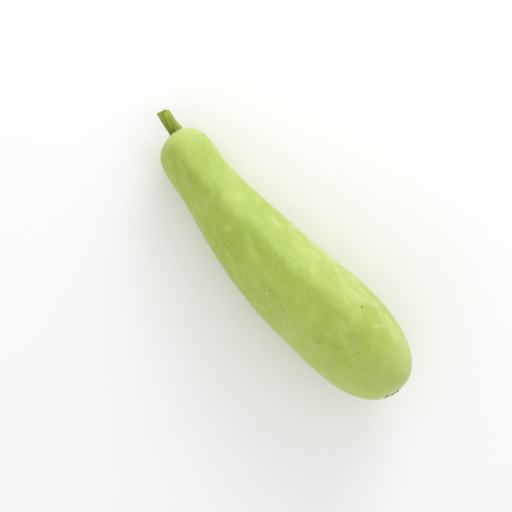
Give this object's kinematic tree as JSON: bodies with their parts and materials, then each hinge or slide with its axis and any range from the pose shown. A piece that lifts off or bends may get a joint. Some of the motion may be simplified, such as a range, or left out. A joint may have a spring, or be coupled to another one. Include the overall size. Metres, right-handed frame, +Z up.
{
  "type": "bottle gourd",
  "caption": "Pale green club-shaped bottle gourd lying on its side, with a cut stem at its narrow shoulder and a dried flower scar on its round belly end.",
  "frame": {"origin": "on the ground, under the middle of the gourd's length and width", "axes": "+X along the gourd's length, from the stem to the blossom end; +Z up from the ground that it lies on"},
  "size_m": [0.3252, 0.088, 0.0884],
  "materials": {
    "gourd_skin": "smooth waxy pale green skin with soft mottling, fine pale flecks and a few dark specks",
    "green_stem": "ridged fibrous olive green stalk, darker at its foot, with a pale cut end",
    "dried_flower": "dry brown fibrous remnant with a very dark ragged rim"
  },
  "bodies": {
    "root": {"fruit": "gourd_skin", "stem": "green_stem", "blossom_scar": "dried_flower"}
  },
  "joints": []
}
